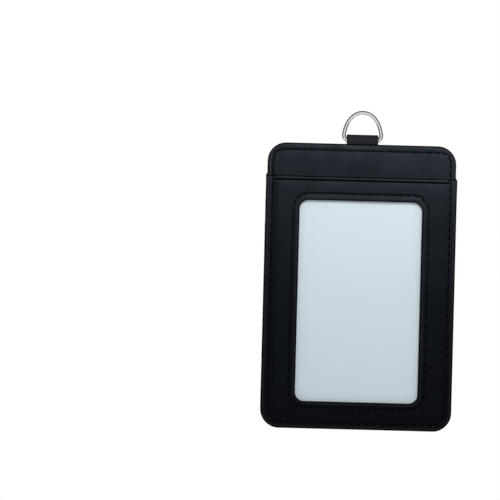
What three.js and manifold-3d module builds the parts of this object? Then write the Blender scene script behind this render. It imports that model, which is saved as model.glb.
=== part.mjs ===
// Leather ID card holder that hangs from a wire D-ring.
// One face has a clear window with a blank card behind it, the other face has three card slots.
// Millimetres, +Z up. The origin is the inner top of the D-ring, where a lanyard hook bears.
// The window faces -Y and the card slots face +Y.

import * as THREE from 'three';
import { mergeVertices } from 'three/addons/utils/BufferGeometryUtils.js';
import Module from 'manifold-3d';

const wasm = await Module();
wasm.setup();

// The standard card that the holder is laid out around
const cardWidth = 54.0;
const cardHeight = 85.6;
const cardThickness = 0.76;
const cardCornerRadius = 3.18;

// Room round a card in its pocket
const cardSideRoom = 3.4;
const cardTopRoom = 7.5;
const cardFloorGap = 0.1;
const cardFaceGap = 0.1;
const slotDepthRoom = 0.04;

// Holder outline
const cornerRadius = 7.2;
const panelOverhang = 0.4;
const lipCornerRadius = 0.6;

// Layers
const coverThickness = 0.6;
const windowPanelThickness = 0.7;
const slotPanelThickness = 0.6;
const filmThickness = 0.2;
const liningThickness = 0.1;
const boardEdgeInset = 0.3;

// Welts: the folded seam that gives each pocket its floor and its depth
const weltSideWidth = 6.0;
const weltFloorHeight = 4.0;
const weltInnerRadius = 2.0;

// Pocket lips, measured down from the top edge
const windowLipDrop = 12.8;
const slotLipDrops = [12.0, 21.7, 31.0];
const mouthSetback = 0.9;
const stripTuck = 8.0;
const stripEndGap = 0.1;
const creaseDrop = 1.15;
const creaseRadius = 0.28;
const creaseRise = 0.1;

// Window aperture, by how far the frame covers each edge of the card
const frameCoversSides = 3.4;
const frameCoversBottom = 6.4;
const frameCoversTop = 1.7;
const apertureRadius = 3.5;
const filmMargin = 5.0;
const filmCornerRadius = 4.0;

// Stitching
const threadRadius = 0.18;
const threadGrooveGap = 0.08;
const threadSink = 0.1;
const stitchInsetSide = 2.1;
const stitchInsetTop = 2.6;
const stitchInsetBottom = 2.3;
const stitchCornerRadius = 5.0;
const stitchRampAbove = 0.7;
const stitchRampBelow = 0.5;
const windowStitchOffset = 2.6;
const tabStitchGap = 0.6;
const tabStitchLength = 5.7;

// Ring tab
const tabWidth = 12.2;
const tabLeather = 0.45;
const tabTailLength = 9.5;
const loopRingGap = 0.2;
const loopSlack = 0.8;
const loopFootGap = 0.1;
const boardNotchGap = 0.3;

// D-ring
const wireDiameter = 1.5;
const ringSideRoom = 0.35;
const ringHeight = 12.2;
const ringCornerRadius = 1.8;
const ringSidePull = 2.2;
const ringTopPull = 5.4;

// Facets
const cornerSegments = 5;
const ringSegments = 8;
const ringSides = 12;
const threadSides = 6;
const threadCornerSteps = 6;

// Holder size, from the card, its room and the welts
const bodyWidth = cardWidth + 2 * cardSideRoom + 2 * weltSideWidth;
const cardBottom = weltFloorHeight + cardFloorGap;
const cardTop = cardBottom + cardHeight;
const windowLip = cardTop + cardTopRoom;
const bodyHeight = windowLip + windowLipDrop;
const panelWidth = bodyWidth + 2 * panelOverhang;
const slotLips = slotLipDrops.map((drop) => bodyHeight - drop);

// Distances of the layers' faces from the mid-plane, on each side
const boardFace = tabLeather;
const coverFace = boardFace + coverThickness;
const cardFace = coverFace + cardFaceGap;
const filmBack = cardFace + cardThickness + cardFaceGap;
const windowPanelBack = filmBack + filmThickness;
const windowPanelFace = windowPanelBack + windowPanelThickness;
const slotGap = cardThickness + slotDepthRoom;
const slotPitch = slotGap + liningThickness + slotPanelThickness;
const slotFaces = slotLips.map((lip, i) => coverFace + (i + 1) * slotPitch);

// Ring and loop sizes, from the tab and the wire
const wireRadius = wireDiameter / 2;
const loopInnerRadius = wireRadius + loopRingGap;
const loopOuterRadius = loopInnerRadius + tabLeather;
const barRise = loopOuterRadius + loopFootGap;
const barOffset = loopOuterRadius - coverFace;
const ringHalfWidth = tabWidth / 2 + ringSideRoom + wireRadius;
const ringTop = ringHeight - wireDiameter;
const barDrop = ringTop - wireRadius;

// Aperture and film edges
const apertureHalf = cardWidth / 2 - frameCoversSides;
const apertureBottom = cardBottom + frameCoversBottom;
const apertureTop = cardTop - frameCoversTop;

// The window side is the -Y side, the slots side the +Y side
const windowSide = -1;
const slotsSide = 1;

// Materials
function finish(color, roughness, metalness) {
  return new THREE.MeshStandardMaterial({ color, roughness, metalness });
}
const leather = finish(0x20252b, 0.5, 0);
const seamLeather = finish(0x17191d, 0.65, 0);
const thread = finish(0x0b0c0e, 0.7, 0);
const lining = finish(0x1b1d20, 0.9, 0);
const board = finish(0x8d8375, 0.9, 0);
const cardPlastic = finish(0xd3e2e9, 0.45, 0);
const plating = finish(0xc9cbcd, 0.2, 1);
const clearFilm = finish(0xe8f0f4, 0.1, 0);
clearFilm.transparent = true;
clearFilm.opacity = 0.25;

// A straight-sided outline in X and Z with round corners
function roundedOutline(half, bottom, top, bottomRadius, topRadius) {
  const quarter = Math.PI / 2;
  const outline = new THREE.Shape();
  outline.moveTo(-half, bottom + bottomRadius);
  outline.absarc(-half + bottomRadius, bottom + bottomRadius, bottomRadius, 2 * quarter, 3 * quarter);
  outline.absarc(half - bottomRadius, bottom + bottomRadius, bottomRadius, 3 * quarter, 4 * quarter);
  outline.absarc(half - topRadius, top - topRadius, topRadius, 0, quarter);
  outline.absarc(-half + topRadius, top - topRadius, topRadius, quarter, 2 * quarter);
  outline.closePath();
  return outline;
}

// The U of a welt: outer edge with the holder's corners, inner edge round the pocket
function weltOutline(top) {
  const quarter = Math.PI / 2;
  const half = bodyWidth / 2;
  const inner = half - weltSideWidth;
  const innerCorner = weltFloorHeight + weltInnerRadius;
  const outline = new THREE.Shape();
  outline.moveTo(-half, top);
  outline.absarc(-half + cornerRadius, cornerRadius, cornerRadius, 2 * quarter, 3 * quarter);
  outline.absarc(half - cornerRadius, cornerRadius, cornerRadius, 3 * quarter, 4 * quarter);
  outline.lineTo(half, top);
  outline.lineTo(inner, top);
  outline.absarc(inner - weltInnerRadius, innerCorner, weltInnerRadius, 0, -quarter, true);
  outline.absarc(-inner + weltInnerRadius, innerCorner, weltInnerRadius, -quarter, -2 * quarter, true);
  outline.lineTo(-inner, top);
  outline.closePath();
  return outline;
}

// A flat sheet between two distances from the mid-plane, on one side of it
function sheet(outline, near, far, side) {
  const geometry = new THREE.ExtrudeGeometry(outline, {
    depth: far - near,
    bevelEnabled: false,
    curveSegments: cornerSegments,
  });
  geometry.rotateX(Math.PI / 2);
  geometry.translate(0, side > 0 ? far : -near, 0);
  return geometry;
}

// A closed tube through the points of a loop
function closedTube(points, radius, sides) {
  const count = points.length;
  const positions = [];
  const index = [];
  points.forEach((point, i) => {
    const arriving = point.clone().sub(points[(i + count - 1) % count]).normalize();
    const leaving = points[(i + 1) % count].clone().sub(point).normalize();
    const along = arriving.add(leaving).normalize();
    const across = new THREE.Vector3(0, 1, 0).cross(along).normalize();
    const outward = new THREE.Vector3().crossVectors(along, across);
    for (let k = 0; k < sides; k += 1) {
      const turn = (2 * Math.PI * k) / sides;
      const rim = point.clone();
      rim.addScaledVector(across, radius * Math.cos(turn));
      rim.addScaledVector(outward, radius * Math.sin(turn));
      positions.push(rim.x, rim.y, rim.z);
      const next = (k + 1) % sides;
      const here = i * sides;
      const there = ((i + 1) % count) * sides;
      index.push(here + k, here + next, there + k);
      index.push(here + next, there + next, there + k);
    }
  });
  const geometry = new THREE.BufferGeometry();
  geometry.setAttribute('position', new THREE.Float32BufferAttribute(positions, 3));
  geometry.setIndex(index);
  geometry.computeVertexNormals();
  return geometry;
}

// A straight rod, centred on a point and turned from +Y to the wanted axis
function rod(radius, length, sides, axis, centre) {
  const geometry = new THREE.CylinderGeometry(radius, radius, length, sides);
  const turn = new THREE.Quaternion().setFromUnitVectors(new THREE.Vector3(0, 1, 0), axis);
  geometry.applyQuaternion(turn);
  geometry.translate(centre.x, centre.y, centre.z);
  return geometry;
}

// Closed meshes to solids and back, for cutting and joining
function toSolid(geometry) {
  const bare = geometry.clone();
  bare.deleteAttribute('normal');
  bare.deleteAttribute('uv');
  const merged = mergeVertices(bare, 1e-5);
  const vertProperties = new Float32Array(merged.attributes.position.array);
  const triVerts = new Uint32Array(merged.index.array);
  return new wasm.Manifold(new wasm.Mesh({ numProp: 3, vertProperties, triVerts }));
}

function toGeometry(solid) {
  const mesh = solid.getMesh();
  const geometry = new THREE.BufferGeometry();
  geometry.setAttribute('position', new THREE.BufferAttribute(mesh.vertProperties, 3));
  geometry.setIndex(new THREE.BufferAttribute(mesh.triVerts, 1));
  geometry.computeVertexNormals();
  return geometry;
}

function cutFrom(geometry, tools) {
  let solid = toSolid(geometry);
  for (const tool of tools) {
    solid = solid.subtract(toSolid(tool));
  }
  return toGeometry(solid);
}

// Points of a quarter circle, in X and Z
function quarterTurn(centreX, centreZ, radius, start, y) {
  const points = [];
  for (let step = 0; step <= threadCornerSteps; step += 1) {
    const angle = start - (Math.PI / 2) * (step / threadCornerSteps);
    const x = centreX + radius * Math.cos(angle);
    const z = centreZ + radius * Math.sin(angle);
    points.push(new THREE.Vector3(x, y, z));
  }
  return points;
}

// The right half of a loop and its mirror image make the whole loop
function mirroredLoop(right) {
  const left = right.map((p) => new THREE.Vector3(-p.x, p.y, p.z));
  return [...right, ...left.reverse()];
}

// The seam round the holder's edge: it climbs from one face to the next at each lip
function edgeSeam(side, lips, faces) {
  const half = bodyWidth / 2 - stitchInsetSide;
  const turnX = half - stitchCornerRadius;
  const turnTop = bodyHeight - stitchInsetTop - stitchCornerRadius;
  const turnBottom = stitchInsetBottom + stitchCornerRadius;
  const heights = [coverFace, ...faces].map((face) => side * (face - threadSink));
  const last = heights[heights.length - 1];
  const right = quarterTurn(turnX, turnTop, stitchCornerRadius, Math.PI / 2, heights[0]);
  lips.forEach((lip, i) => {
    right.push(new THREE.Vector3(half, heights[i], lip + stitchRampAbove));
    right.push(new THREE.Vector3(half, heights[i + 1], lip - stitchRampBelow));
  });
  right.push(...quarterTurn(turnX, turnBottom, stitchCornerRadius, 0, last));
  return mirroredLoop(right);
}

// The seam that holds the film round the aperture
function windowSeam() {
  const y = windowSide * (windowPanelFace - threadSink);
  const radius = apertureRadius + windowStitchOffset;
  const turnX = apertureHalf - apertureRadius;
  const turnTop = apertureTop - apertureRadius;
  const turnBottom = apertureBottom + apertureRadius;
  const right = quarterTurn(turnX, turnTop, radius, Math.PI / 2, y);
  right.push(...quarterTurn(turnX, turnBottom, radius, 0, y));
  return mirroredLoop(right);
}

// Grooves that the threads lie in
const grooveRadius = threadRadius + threadGrooveGap;
const windowEdgeSeam = edgeSeam(windowSide, [windowLip], [windowPanelFace]);
const slotsEdgeSeam = edgeSeam(slotsSide, slotLips, slotFaces);
const windowEdgeGroove = closedTube(windowEdgeSeam, grooveRadius, threadSides);
const slotsEdgeGroove = closedTube(slotsEdgeSeam, grooveRadius, threadSides);
const windowGroove = closedTube(windowSeam(), grooveRadius, threadSides);

// The short vertical seam that holds the tab's tail
function tabSeam(radius, length) {
  const top = bodyHeight - stitchInsetTop - tabStitchGap;
  const centre = new THREE.Vector3(0, coverFace - threadSink, top - tabStitchLength / 2);
  return rod(radius, length, threadSides, new THREE.Vector3(0, 0, 1), centre);
}

// The crease pressed along a pocket's lip, from one edge seam to the other
function lipCrease(side, lip, face) {
  const centre = new THREE.Vector3(0, side * (face + creaseRise), lip - creaseDrop);
  const length = bodyWidth - 2 * stitchInsetSide;
  return rod(creaseRadius, length, threadSides, new THREE.Vector3(1, 0, 0), centre);
}

// Covers and the board between them
function coverOutline() {
  return roundedOutline(bodyWidth / 2, 0, bodyHeight, cornerRadius, cornerRadius);
}

function windowCover() {
  const blank = sheet(coverOutline(), boardFace, coverFace, windowSide);
  return cutFrom(blank, [windowEdgeGroove]);
}

function slotsCover() {
  const blank = sheet(coverOutline(), boardFace, coverFace, slotsSide);
  const tabGroove = tabSeam(grooveRadius, tabStitchLength + 2 * threadGrooveGap);
  return cutFrom(blank, [slotsEdgeGroove, tabGroove]);
}

function stiffenerBoard() {
  const half = bodyWidth / 2 - boardEdgeInset;
  const radius = cornerRadius - boardEdgeInset;
  const top = bodyHeight - boardEdgeInset;
  const notchHalf = tabWidth / 2 + boardNotchGap;
  const notchFloor = bodyHeight - tabTailLength - boardNotchGap;
  const quarter = Math.PI / 2;
  const outline = new THREE.Shape();
  outline.moveTo(-half, boardEdgeInset + radius);
  outline.absarc(-half + radius, boardEdgeInset + radius, radius, 2 * quarter, 3 * quarter);
  outline.absarc(half - radius, boardEdgeInset + radius, radius, 3 * quarter, 4 * quarter);
  outline.absarc(half - radius, top - radius, radius, 0, quarter);
  outline.lineTo(notchHalf, top);
  outline.lineTo(notchHalf, notchFloor);
  outline.lineTo(-notchHalf, notchFloor);
  outline.lineTo(-notchHalf, top);
  outline.absarc(-half + radius, top - radius, radius, quarter, 2 * quarter);
  outline.closePath();
  return sheet(outline, -boardFace, boardFace, slotsSide);
}

// Window side
function windowPanel() {
  const outline = roundedOutline(panelWidth / 2, 0, windowLip, cornerRadius, lipCornerRadius);
  const aperture = roundedOutline(
    apertureHalf, apertureBottom, apertureTop, apertureRadius, apertureRadius);
  outline.holes.push(aperture);
  const blank = sheet(outline, windowPanelBack, windowPanelFace, windowSide);
  const crease = lipCrease(windowSide, windowLip, windowPanelFace);
  return cutFrom(blank, [windowEdgeGroove, windowGroove, crease]);
}

function windowFilm() {
  const outline = roundedOutline(
    apertureHalf + filmMargin, apertureBottom - filmMargin, apertureTop + filmMargin,
    filmCornerRadius, filmCornerRadius);
  return sheet(outline, filmBack, windowPanelBack, windowSide);
}

function windowWelt() {
  return sheet(weltOutline(windowLip - mouthSetback), coverFace, windowPanelBack, windowSide);
}

function blankCard() {
  const outline = roundedOutline(
    cardWidth / 2, cardBottom, cardTop, cardCornerRadius, cardCornerRadius);
  return sheet(outline, cardFace, cardFace + cardThickness, windowSide);
}

// Slots side. Slot 0 is the upper one, whose lip is highest and whose panel lies deepest
function slotFloor(i) {
  return i === 0 ? coverFace : slotFaces[i - 1];
}

// The upper panels are strips that end a tuck below the next lip, the last one reaches the bottom
function stripEnd(i) {
  return slotLips[i + 1] - stripTuck;
}

function slotPanel(i) {
  const isLast = i === slotLips.length - 1;
  const bottom = isLast ? 0 : stripEnd(i);
  const bottomRadius = isLast ? cornerRadius : lipCornerRadius;
  const outline = roundedOutline(
    panelWidth / 2, bottom, slotLips[i], bottomRadius, lipCornerRadius);
  const blank = sheet(outline, slotFaces[i] - slotPanelThickness, slotFaces[i], slotsSide);
  return cutFrom(blank, [slotsEdgeGroove, lipCrease(slotsSide, slotLips[i], slotFaces[i])]);
}

function slotLining(i) {
  const outer = slotFaces[i] - slotPanelThickness;
  const top = slotLips[i] - mouthSetback;
  const outline = roundedOutline(bodyWidth / 2, 0, top, cornerRadius, lipCornerRadius);
  return sheet(outline, outer - liningThickness, outer, slotsSide);
}

// Below the end of the strip in front of it, a welt reaches down to that strip's lining
function slotWelt(i) {
  const near = slotFloor(i);
  const upper = sheet(weltOutline(slotLips[i] - mouthSetback), near, near + slotGap, slotsSide);
  if (i === 0) {
    return upper;
  }
  const packing = weltOutline(stripEnd(i - 1) - stripEndGap);
  const lower = sheet(packing, near - slotPanelThickness, near + slotGap / 2, slotsSide);
  return toGeometry(toSolid(upper).add(toSolid(lower)));
}

// Ring tab: a loop round the ring's bar, and a tail of both ends of the strap
function ringTab() {
  const foot = bodyHeight + barRise;
  const head = foot + loopSlack;
  const frontReach = Math.sqrt(loopOuterRadius ** 2 - (barOffset + tabLeather) ** 2);
  const backReach = Math.sqrt(loopOuterRadius ** 2 - (barOffset - tabLeather) ** 2);
  const frontAngle = Math.atan2(-frontReach, -tabLeather - barOffset);
  const backAngle = Math.atan2(-backReach, tabLeather - barOffset);
  const profile = new THREE.Shape();
  profile.moveTo(-tabLeather, bodyHeight - tabTailLength);
  profile.lineTo(tabLeather, bodyHeight - tabTailLength);
  profile.absarc(barOffset, foot, loopOuterRadius, backAngle, 0);
  profile.absarc(barOffset, head, loopOuterRadius, 0, Math.PI);
  profile.absarc(barOffset, foot, loopOuterRadius, -Math.PI, frontAngle);
  profile.closePath();
  const eye = new THREE.Path();
  eye.absarc(barOffset, head, loopInnerRadius, 0, Math.PI);
  eye.absarc(barOffset, foot, loopInnerRadius, Math.PI, 2 * Math.PI);
  eye.closePath();
  profile.holes.push(eye);
  const geometry = new THREE.ExtrudeGeometry(profile, {
    depth: tabWidth,
    bevelEnabled: false,
    curveSegments: ringSegments,
  });
  // The profile is drawn in Y and Z: turn its X to +Y, its Y to +Z and its depth to +X
  geometry.applyMatrix4(new THREE.Matrix4().makeBasis(
    new THREE.Vector3(0, 1, 0), new THREE.Vector3(0, 0, 1), new THREE.Vector3(1, 0, 0)));
  geometry.translate(-tabWidth / 2, 0, 0);
  return geometry;
}

// D-ring: a straight bar, two tight corners and a tall arch. Its frame has the inner top at the origin
function dRing() {
  const bar = -barDrop;
  const shoulder = bar + ringCornerRadius;
  const top = bar + ringTop;
  const cornerX = ringHalfWidth - ringCornerRadius;
  const path = new THREE.Path();
  path.moveTo(-cornerX, bar);
  path.lineTo(cornerX, bar);
  path.absarc(cornerX, shoulder, ringCornerRadius, -Math.PI / 2, 0);
  path.bezierCurveTo(ringHalfWidth, shoulder + ringSidePull, ringTopPull, top, 0, top);
  path.bezierCurveTo(-ringTopPull, top, -ringHalfWidth, shoulder + ringSidePull, -ringHalfWidth, shoulder);
  path.absarc(-cornerX, shoulder, ringCornerRadius, Math.PI, 1.5 * Math.PI);
  const points = path.getPoints(ringSegments).map((p) => new THREE.Vector3(p.x, 0, p.y));
  const first = points[0];
  const loop = points.filter((p, i) => i === 0 || p.distanceTo(first) > 1e-6);
  return closedTube(loop, wireRadius, ringSides);
}

// Assembly
function piece(name, geometry, material) {
  const mesh = new THREE.Mesh(geometry, material);
  mesh.name = name;
  return mesh;
}

const group = new THREE.Group();
group.add(piece('d_ring', dRing(), plating));

// The holder is drawn from its bottom edge and its mid-plane, and hangs from the ring's bar
const holder = new THREE.Group();
holder.position.set(0, -barOffset, -barDrop - barRise - bodyHeight);
group.add(holder);

holder.add(piece('ring_tab', ringTab(), leather));
holder.add(piece('tab_stitching', tabSeam(threadRadius, tabStitchLength), thread));
holder.add(piece('window_side_cover', windowCover(), leather));
holder.add(piece('slots_side_cover', slotsCover(), leather));
holder.add(piece('stiffener_board', stiffenerBoard(), board));
holder.add(piece('window_panel', windowPanel(), leather));
holder.add(piece('window_film', windowFilm(), clearFilm));
holder.add(piece('window_pocket_welt', windowWelt(), seamLeather));
holder.add(piece('window_stitching', closedTube(windowSeam(), threadRadius, threadSides), thread));
holder.add(piece('id_card_blank', blankCard(), cardPlastic));

const slotNames = ['upper', 'middle', 'lower'];
slotNames.forEach((name, i) => {
  holder.add(piece(`slot_panel_${name}`, slotPanel(i), leather));
  holder.add(piece(`slot_lining_${name}`, slotLining(i), lining));
  holder.add(piece(`slot_welt_${name}`, slotWelt(i), seamLeather));
});

const windowEdgeThread = closedTube(windowEdgeSeam, threadRadius, threadSides);
const slotsEdgeThread = closedTube(slotsEdgeSeam, threadRadius, threadSides);
holder.add(piece('edge_stitching_window_side', windowEdgeThread, thread));
holder.add(piece('edge_stitching_slots_side', slotsEdgeThread, thread));

export default group;
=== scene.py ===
"""Leather ID card holder, dressed round its packed construction.

The window face looks along -Y, the card-slot face along +Y, and the D-ring is at the top.
Lengths are metres.
"""

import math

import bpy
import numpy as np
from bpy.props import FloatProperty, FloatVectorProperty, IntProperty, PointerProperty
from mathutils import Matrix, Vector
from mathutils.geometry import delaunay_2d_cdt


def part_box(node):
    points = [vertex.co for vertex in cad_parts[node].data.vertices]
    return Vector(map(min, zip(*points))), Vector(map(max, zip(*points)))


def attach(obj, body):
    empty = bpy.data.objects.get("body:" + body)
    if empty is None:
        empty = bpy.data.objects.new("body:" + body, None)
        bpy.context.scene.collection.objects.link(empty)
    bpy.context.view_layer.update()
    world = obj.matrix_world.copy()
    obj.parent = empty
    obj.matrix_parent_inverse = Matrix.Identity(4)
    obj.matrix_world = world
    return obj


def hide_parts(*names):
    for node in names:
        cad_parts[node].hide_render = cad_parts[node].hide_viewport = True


bl_info = {
    "name": "Leather ID Card Holder",
    "version": (1, 0, 0),
    "blender": (4, 5, 0),
    "location": "3D View > Sidebar > Card Holder",
    "description": "Builds a leather ID card holder with a clear window, card slots and a D-ring",
    "category": "Object",
}

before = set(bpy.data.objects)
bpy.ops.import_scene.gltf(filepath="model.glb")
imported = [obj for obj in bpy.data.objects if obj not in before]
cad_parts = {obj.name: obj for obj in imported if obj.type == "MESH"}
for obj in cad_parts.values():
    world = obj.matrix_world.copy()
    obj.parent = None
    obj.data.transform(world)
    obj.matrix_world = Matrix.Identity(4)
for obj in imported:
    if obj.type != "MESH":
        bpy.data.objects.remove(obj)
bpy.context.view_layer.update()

MM = 0.001

WINDOW_SIDE = -1
SLOTS_SIDE = 1

# For each face's sheen lamp, the collection of pieces that it doesn't light
SPARED = {WINDOW_SIDE: "spared_window_sheen", SLOTS_SIDE: "spared_slots_sheen"}

SLOT_PANELS = ("slot_panel_upper", "slot_panel_middle", "slot_panel_lower")

# Mesh fineness
LATTICE_UNIT = 0.1 * MM
OUTLINE_STEP = 0.6 * MM
CORNER_STEP = 0.45 * MM
ROUNDING_RINGS = np.array((0, 0.02, 0.06, 0.12, 0.2, 0.3, 0.42, 0.54)) * MM
SLOPE_PROBE = 0.01 * MM
STITCH_STATIONS = np.array((0, 0.05, 0.11, 0.2, 0.35, 0.5, 0.65, 0.8, 0.89, 0.95, 1))
THREAD_SIDES = 6
WIRE_SIDES = 24

# Slack where two distances are compared
SNAP = 0.01 * MM

# How far a covered sheet still shows behind the lip in front of it
MOUTH = 0.9 * MM


def linear(code):
    """An sRGB hex colour as a linear colour with full alpha."""
    channels = [int(code[i : i + 2], 16) / 255 for i in (1, 3, 5)]
    return (*(c / 12.92 if c <= 0.04045 else ((c + 0.055) / 1.055) ** 2.4 for c in channels), 1.0)


def length(name, description, millimetres):
    return FloatProperty(
        name=name,
        description=description,
        default=millimetres * MM,
        min=0,
        unit="LENGTH",
        subtype="DISTANCE",
    )


def colour(name, description, code):
    return FloatVectorProperty(
        name=name, description=description, default=linear(code), size=4, min=0, max=1, subtype="COLOR"
    )


class HolderSizes(bpy.types.PropertyGroup):
    """Sizes that the finish of the holder adds to its construction"""

    corner_radius: length("Corner Radius", "Radius of the holder's four corners", 7.2)
    lip_corner: length("Lip Corner", "Radius of the corners at a pocket's lip", 0.6)
    edge_roll: length("Edge Roll", "Radius of the rolled edge of each piece of leather", 0.32)
    edge_paint: length("Edge Paint Lap", "How far the edge paint laps onto the face", 0.54)
    lip_flare: length("Lip Flare", "How far a pocket's sides spring out at its lip", 0.08)
    seam_side: length("Side Seam Inset", "Edge seam, in from the body's sides", 2.1)
    seam_top: length("Top Seam Inset", "Edge seam, down from the body's top", 2.6)
    seam_bottom: length("Bottom Seam Inset", "Edge seam, up from the body's bottom", 2.3)
    seam_corner: length("Seam Corner", "Radius of the edge seam's lower corners", 5.0)
    seam_top_corner: length("Seam Top Corner", "Radius of the edge seam's upper corners", 3.4)
    window_seam: length("Window Seam", "Window seam, out from the aperture", 2.6)
    aperture_half: length("Aperture Half Width", "Half the width of the window", 23.6)
    aperture_low: length("Aperture Bottom", "Window bottom, up from the body's bottom", 10.5)
    aperture_high: length("Aperture Top", "Window top, up from the body's bottom", 88.0)
    aperture_corner: length("Aperture Corner", "Radius of the window's corners", 3.5)
    valley_depth: length("Seam Valley Depth", "How deep a seam pulls the leather in", 0.06)
    valley_width: length("Seam Valley Width", "Reach of the valley on each side of a seam", 0.45)
    pillow_height: length("Pillow Height", "Quick rise of the leather beside a seam", 0.05)
    pillow_reach: length("Pillow Reach", "Distance over which that rise fades", 1.2)
    swell_height: length("Swell Height", "Slow rise of the leather towards its middle", 0.16)
    swell_reach: length("Swell Reach", "Distance over which the slow rise fades", 4.5)
    dip_depth: length("Dip Depth", "How deep a covered sheet dips where it goes in behind a lip", 0.14)
    dip_reach: length("Dip Reach", "Distance over which that dip fades", 2.5)
    crease_drop: length("Crease Drop", "Pressed crease, down from a pocket's lip", 1.36)
    crease_width: length("Crease Width", "Half width of the pressed crease", 0.34)
    crease_depth: length("Crease Depth", "Depth of the pressed crease", 0.26)
    bead_rise: length("Bead Rise", "Rise of the bead from a lip to its crease", 0.13)
    strip_bulge: length("Strip Bulge", "Rise of the leather below the crease", 0.2)
    strip_reach: length("Strip Reach", "Distance over which that rise fades", 2.2)
    stitch_gap: length("Stitch Gap", "Leather left between two stitches at a needle hole", 1.15)
    dent_length: length("Stitch Dent Length", "Half length of the dent at a stitch's end", 0.22)
    dent_width: length("Stitch Dent Width", "Half width of the dent at a stitch's end", 0.24)
    dent_depth: length("Stitch Dent Depth", "Depth of the dent at a stitch's end", 0.18)
    tab_bulge: length("Tab Bulge", "Rise of the covers over the tab's tail", 0.12)
    tab_tail: length("Tab Tail", "Length of the tab's tail between the covers", 9.5)
    thread_radius: length("Thread Radius", "Radius of the sewing thread", 0.24)
    stitch_pitch: length("Stitch Pitch", "Distance between needle holes", 3.05)
    lip_hole: length("Lip Hole", "The needle hole above each lip, up from the lip", 0.6)
    wave_height: length("Leather Wave", "Height of the slow unevenness of the leather", 0.05)
    tab_stitches: IntProperty(
        name="Tab Stitches", description="Stitches that hold the tab's tail", default=2
    )


class HolderColours(bpy.types.PropertyGroup):
    """Colours of the holder's materials"""

    leather: colour("Leather", "Black smooth cowhide", "#050607")
    leather_sheen: colour("Leather Sheen", "Cool tint of the leather's shine", "#bed3f0")
    # Painted highlight: a paler colour for a thin line of light just in from each edge
    painted_edge_highlight: colour("Rubbed Leather", "Leather rubbed paler along its edges", "#242527")
    # Painted sheen: the tab's paler grey stands in for the shine that the sheen lamps are kept from giving
    # it
    strap: colour("Strap", "Waxed black leather of the ring tab", "#232529")
    edge_paint: colour("Edge Paint", "Black paint on the cut edges", "#020203")
    thread: colour("Thread", "Black bonded polyester thread", "#020203")
    lining: colour("Lining", "Black woven nylon in the slots", "#1b1d20")
    board: colour("Board", "Grey board that stiffens the holder", "#8d8375")
    film: colour("Film", "Clear window film", "#f2f6f8")
    card: colour("Card", "Blank insert card", "#cfdee6")
    nickel: colour("Nickel", "Polished nickel plate of the D-ring", "#dcdddf")


def gauss(distance, width):
    return np.exp(-((distance / width) ** 2))


def ramp(low, high, value):
    """0 below low, 1 above high and smooth between them."""
    t = np.clip((value - low) / (high - low), 0, 1)
    return t * t * (3 - 2 * t)


class Rectangle:
    """A rounded rectangle in X and Z, centred on X = 0."""

    def __init__(self, half, low, high, low_radius, high_radius):
        self.half = half
        self.low = low
        self.high = high
        self.low_radius = low_radius
        self.high_radius = high_radius
        self.path = self.trace()
        steps = np.hypot(*np.diff(self.path[:, :2], axis=0).T)
        self.stations = np.concatenate([[0], np.cumsum(steps)])
        self.length = self.stations[-1]

    def trace(self):
        """Points and outward normals, counter-clockwise from the bottom middle and back to it."""
        rows = [(0, self.low, 0, -1)]
        corners = (
            (1, self.low + self.low_radius, self.low_radius, -90),
            (1, self.high - self.high_radius, self.high_radius, 0),
            (-1, self.high - self.high_radius, self.high_radius, 90),
            (-1, self.low + self.low_radius, self.low_radius, 180),
        )
        for side, centre_z, radius, start in corners:
            centre_x = side * (self.half - radius)
            count = max(7, math.ceil(radius * math.pi / 2 / CORNER_STEP))
            for angle in np.radians(np.linspace(start, start + 90, count)):
                out_x, out_z = math.cos(angle), math.sin(angle)
                rows.append((centre_x + radius * out_x, centre_z + radius * out_z, out_x, out_z))
        rows.append(rows[0])
        return np.array(rows)

    def walk(self, at):
        """X, Z and the outward normal at distances along the path."""
        return np.stack([np.interp(at, self.stations, self.path[:, i]) for i in range(4)], axis=-1)

    def side_station(self, z):
        """Distance along the path to a height on the right-hand side."""
        rows = np.isclose(self.path[:, 0], self.half)
        return np.interp(z, self.path[rows, 1], self.stations[rows])

    def ring(self):
        """Even points along the path, with every corner point kept."""
        at = []
        for start, end in zip(self.stations[:-1], self.stations[1:]):
            count = max(1, math.ceil((end - start) / OUTLINE_STEP))
            at.extend(np.linspace(start, end, count, endpoint=False))
        return self.walk(np.array(at))

    def depth(self, x, z):
        """How far inside the rectangle each point lies, and below zero outside it."""
        middle = (self.low + self.high) / 2
        radius = np.where(z > middle, self.high_radius, self.low_radius)
        over_x = np.abs(x) - (self.half - radius)
        over_z = np.abs(z - middle) - ((self.high - self.low) / 2 - radius)
        outside = np.hypot(np.maximum(over_x, 0), np.maximum(over_z, 0))
        return radius - outside - np.minimum(np.maximum(over_x, over_z), 0)

    def grown(self, amount):
        return Rectangle(
            self.half + amount,
            self.low - amount,
            self.high + amount,
            self.low_radius + amount,
            self.high_radius + amount,
        )


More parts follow.
